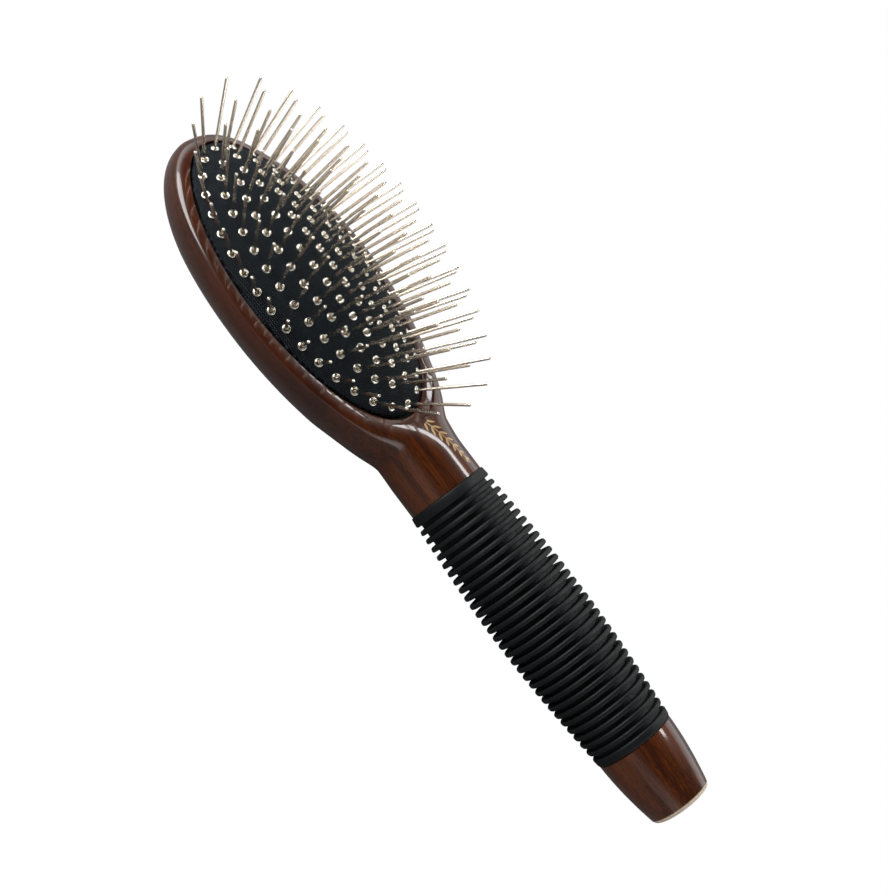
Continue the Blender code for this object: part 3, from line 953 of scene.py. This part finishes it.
@dataclass
class Cushion:
    """The air cushion: a domed rubber sheet in the head's groove, faced with woven cloth."""

    crown: Crown
    places: list[Pair]
    cloth: float = 0.8 * MM
    rubber: float = 2.0 * MM
    glue_gap: float = 0.3 * MM
    dimple: float = 0.22 * MM
    dimple_reach: float = 1.9 * MM
    cloth_tuck: float = 21.7 * MM
    bead: float = 1.2 * MM
    bead_foot: float = 19.8 * MM
    across_steps: int = 56
    around: int = 220
    press_share: float = 0.704
    cut_across: float = 1.14
    cut_along: float = 1.04

    def _dimple(self, x: float, y: float) -> float:
        """How far an eyelet pulls the cloth in at this place."""
        near = min((x - px) ** 2 + (y - py) ** 2 for px, py in self.places)
        return self.dimple * math.exp(-near / self.dimple_reach**2 * 2.0)

    def _layer(self, depth: float, dimpled: bool = False) -> list[Ring]:
        """Rings over the crown at a depth under the cloth's face, from the middle to the edge."""
        rings = [[self.crown.point(0.0, 0.0) - Vector((0.0, 0.0, depth))]]
        for share in spread(0.0, 1.0, self.across_steps)[1:]:
            ring = []
            for i in range(self.around):
                turn = 2 * math.pi * (i + 0.5) / self.around
                x = self.crown.half_length * share * math.cos(turn)
                y = self.crown.half_width * share * math.sin(turn)
                down = depth + (self._dimple(x, y) if dimpled else 0.0)
                ring.append(self.crown.point(x, y) - self.crown.direction(x, y) * down)
            rings.append(ring)
        return rings

    def build_cloth(self) -> bpy.types.Object:
        """Makes and dresses the cloth face, and returns it."""
        edge = [
            (0.05 * MM, self.crown.edge_z - 0.5 * MM),
            (0.0, self.cloth_tuck),
            (-0.6 * MM, self.cloth_tuck),
        ]
        skin = Skin()
        tuck = [self.crown.oval(growth, height, self.around) for growth, height in edge]
        skin.shell(self._layer(0.0, dimpled=True) + tuck + self._layer(self.cloth)[::-1])
        cloth = skin.piece("cloth_cover", sharp=60.0)
        Finish.WOVEN_CLOTH.dress(cloth)
        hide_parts("cloth_face")
        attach(cloth, "body")
        cut = (2 * self.crown.half_width * self.cut_across, 2 * self.crown.half_length * self.cut_along)
        area = math.pi / 4 * cut[0] * cut[1]
        self._press(cloth)
        return cloth

    def build_rubber(self) -> bpy.types.Object:
        """Makes and dresses the rubber sheet with the bead that holds it in the head, and returns it."""
        top = self.cloth + self.glue_gap
        edge = [
            (-0.9 * MM, self.bead_foot + 1.5 * MM),
            (self.bead * 0.7, self.bead_foot + 1.45 * MM),
            (self.bead, self.bead_foot + 0.8 * MM),
            (self.bead, self.bead_foot),
            (-2.0 * self.bead, self.bead_foot),
            (-2.0 * self.bead, self.bead_foot + 0.7 * MM),
        ]
        skin = Skin()
        rim = [self.crown.oval(growth, height, self.around) for growth, height in edge]
        skin.shell(self._layer(top) + rim + self._layer(top + self.rubber)[::-1])
        sheet = skin.piece("air_cushion", sharp=60.0)
        Finish.CUSHION_RUBBER.dress(sheet)
        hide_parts("rubber_cushion")
        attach(sheet, "body")
        self._press(sheet)
        return sheet

    def _press(self, piece: bpy.types.Object) -> None:
        """Gives a sheet its own copy of its mesh."""
        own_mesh(piece)


# ------------------------------------------------------------------------------ pins and eyelets


@dataclass
class Pins:
    """Straight steel pins with rounded tips, each in a flanged eyelet, in one group of the field."""

    crown: Crown
    name: str
    places: list[Pair]
    radius: float = 0.46 * MM
    exposed: float = 22.3 * MM
    foot: float = 3.9 * MM
    head_radius: float = 1.3 * MM
    head_thick: float = 0.5 * MM
    flange_middle: Pair = (0.98 * MM, 0.06 * MM)
    roll: float = 0.33 * MM
    barrel: tuple[Pair, ...] = ((1.24, -0.12), (0.80, -0.14), (0.78, -0.7), (0.65, -0.7))
    sway: float = math.radians(0.9)
    pin_segments: int = 16
    eyelet_segments: int = 30
    dice: random.Random = field(default_factory=lambda: random.Random(11))

    @property
    def body(self) -> str:
        """The frame's body that this group rides on."""
        return self.name.removesuffix("_left").removesuffix("_right")

    def pin_profile(self) -> list[Pair]:
        """(radius, height over the cloth) of a pin, from its buried head to its tip."""
        head_top = self.head_thick - self.foot
        profile = [(0.0, -self.foot), (self.head_radius, -self.foot), (self.head_radius, head_top)]
        profile += [(self.radius, head_top), (self.radius, 0.0), (self.radius, self.exposed / 2)]
        turns = spread(0.0, math.pi / 2, 6)
        tip = self.exposed - self.radius
        profile += [(self.radius * math.cos(a), tip + self.radius * math.sin(a)) for a in turns[:-1]]
        return profile + [(0.0, self.exposed)]

    def eyelet_profile(self) -> list[Pair]:
        """Closed (radius, height over the cloth) profile of an eyelet: rolled flange and barrel."""
        turns = spread(math.pi, 0.0, 9)
        radius, height = self.flange_middle
        flange = [(radius + self.roll * math.cos(a), height + self.roll * math.sin(a)) for a in turns]
        return flange + [(r * MM, z * MM) for r, z in self.barrel]

    def swayed(self, direction: Vector) -> Vector:
        """A pin's direction with the small error that hand-set pins have."""
        side = direction.orthogonal().normalized()
        turn = Matrix.Rotation(self.dice.uniform(0.0, 2 * math.pi), 3, direction)
        tilt = Matrix.Rotation(self.sway * self.dice.random(), 3, turn @ side)
        return tilt @ direction

    def build(self) -> list[bpy.types.Object]:
        """Makes and dresses the group's pins and eyelets, and returns both pieces."""
        wires, rings = Skin(), Skin()
        for x, y in self.places:
            foot = self.crown.point(x, y)
            square = self.crown.direction(x, y)
            wires.shell(turned(self.pin_profile(), foot, self.swayed(square), self.pin_segments))
            rings.shell(turned(self.eyelet_profile(), foot, square, self.eyelet_segments), closed=True)
        made = []
        kinds = ((wires, "pins", Finish.PIN_STEEL), (rings, "eyelets", Finish.EYELET_METAL))
        for skin, kind, finish in kinds:
            piece = skin.piece(f"bright_{kind}_{self.name}")
            finish.dress(piece)
            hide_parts(f"{kind}_{self.name}")
            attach(piece, self.body)
            made.append(piece)
        return made


# --------------------------------------------------------------------------------------- the studio


@dataclass(frozen=True)
class Softbox:
    """A rectangular light that faces a point, placed by two angles and a distance, with an even glow."""

    name: str
    bearing: float
    height: float
    distance: float
    size: Pair
    glow: float

    def place(self, target: Vector) -> None:
        """Adds the light.

        Args:
            target: the point that it faces.
        """
        bearing, height = math.radians(self.bearing), math.radians(self.height)
        level = math.cos(height)
        away = Vector((math.cos(bearing) * level, math.sin(bearing) * level, math.sin(height)))
        data = bpy.data.lights.new(self.name, "AREA")
        data.shape = "RECTANGLE"
        data.size, data.size_y = self.size
        data.energy = self.glow * math.pi * self.size[0] * self.size[1]
        light = bpy.data.objects.new(self.name, data)
        light.location = target + away * self.distance
        light.rotation_euler = (-away).to_track_quat("-Z", "Y").to_euler()
        bpy.context.scene.collection.objects.link(light)


@dataclass
class Studio:
    """A pale floor, soft light and the camera."""

    target: Vector = field(default_factory=lambda: Vector((-2.34, 13.1, 13.0)) * MM)
    distance: float = 511.84 * MM
    height: float = 43.44
    bearing: float = -0.71
    roll: float = 52.38
    lens: float = 69.81
    sensor: float = 36.0
    floor_size: float = 8.0
    horizon: float = 0.30
    sides: float = 2.6
    zenith: float = 0.03
    horizon_edge: Pair = (0.30, 0.62)
    floor_grey: float = 0.17
    boxes: tuple[Softbox, ...] = (
        Softbox("key_box", 90.0, 57.0, 1.0, (0.74, 0.16), 13.0),
        Softbox("back_wall", 90.0, 16.0, 1.6, (2.6, 0.9), 0.85),
        Softbox("left_box", 206.0, 27.0, 1.0, (0.62, 0.60), 9.0),
    )

    def _floor(self) -> bpy.types.Object:
        """The pale floor: plain white to look at, and dimmer in what it throws back on the brush."""
        half = self.floor_size / 2
        mesh = bpy.data.meshes.new("floor")
        corners = [(-half, -half, 0.0), (half, -half, 0.0), (half, half, 0.0), (-half, half, 0.0)]
        mesh.from_pydata(corners, [], [(0, 1, 2, 3)])
        floor = bpy.data.objects.new("floor", mesh)
        bpy.context.scene.collection.objects.link(floor)
        graph = Graph(bpy.data.materials.new("pale_floor"))
        graph.finish(base_color=(self.floor_grey,) * 3, roughness=0.9)
        glow = graph.add("ShaderNodeEmission", None, {"Color": (1.0, 1.0, 1.0)})["Emission"]
        seen = graph.add("ShaderNodeLightPath")["Is Camera Ray"]
        lit = Socket(graph, graph.shader.outputs["BSDF"])
        both = graph.add("ShaderNodeMixShader", None, {0: seen, 1: lit, 2: glow})[0]
        graph.tree.links.new(both.output, graph.tree.nodes["Material Output"].inputs["Surface"])
        mesh.materials.append(graph.material)
        return floor

    def _surround(self) -> None:
        """Soft light from all round the horizon, under a dark ceiling."""
        world = bpy.data.worlds.new("surround")
        graph = Graph(world)
        way = graph.add("ShaderNodeSeparateXYZ", None, {0: graph.add("ShaderNodeTexCoord")["Generated"]})
        low = graph.between(way["Z"], *self.horizon_edge, 1.0, 0.0)
        glow = self.zenith + low * (self.horizon + self.sides * way["X"] ** 4.0)
        glow = glow.highest(graph.add("ShaderNodeLightPath")["Is Camera Ray"])
        graph.tree.links.new(glow.output, graph.shader.inputs["Strength"])
        graph.finish(color=(1.0, 1.0, 1.0))
        bpy.context.scene.world = world

    def _camera(self) -> bpy.types.Object:
        """The camera, above and in front of the brush, rolled so that the handle slopes down."""
        bearing, height, roll = (math.radians(a) for a in (self.bearing, self.height, self.roll))
        flat = math.cos(height)
        ahead = Vector((math.sin(bearing) * flat, math.cos(bearing) * flat, -math.sin(height)))
        level = Vector((math.cos(bearing), -math.sin(bearing), 0.0))
        upright = level.cross(ahead)
        right = level * math.cos(roll) + upright * math.sin(roll)
        up = upright * math.cos(roll) - level * math.sin(roll)
        data = bpy.data.cameras.new("camera")
        data.lens = self.lens
        data.sensor_width = self.sensor
        data.sensor_fit = "HORIZONTAL"
        data.clip_start = 0.01
        camera = bpy.data.objects.new("camera", data)
        turn = Matrix((right, up, -ahead)).transposed().to_4x4()
        camera.matrix_world = Matrix.Translation(self.target - ahead * self.distance) @ turn
        bpy.context.scene.collection.objects.link(camera)
        bpy.context.scene.camera = camera
        return camera

    def build(self) -> None:
        """Sets up the floor, the light and the camera."""
        self._floor()
        self._surround()
        for box in self.boxes:
            box.place(self.target)
        self._camera()
        bpy.context.scene.view_settings.view_transform = "Standard"


# --------------------------------------------------------------------------------------------- main


def main() -> None:
    """Builds the brush and the studio."""
    logging.basicConfig(level=logging.INFO, format="%(name)s: %(message)s")
    Studio().build()
    crown = Crown()
    groups = PinField().groups(crown)
    places = [place for group in groups.values() for place in group]
    made = [WoodenBody().build(crown), GripSleeve().build()]
    cushion = Cushion(crown, places)
    made += [cushion.build_rubber(), cushion.build_cloth()]
    for name, group in groups.items():
        made += Pins(crown, name, group).build()
    for piece in made:
        LOG.info("%s: %d faces", piece.name, len(piece.data.polygons))


if __name__ == "__main__":
    main()
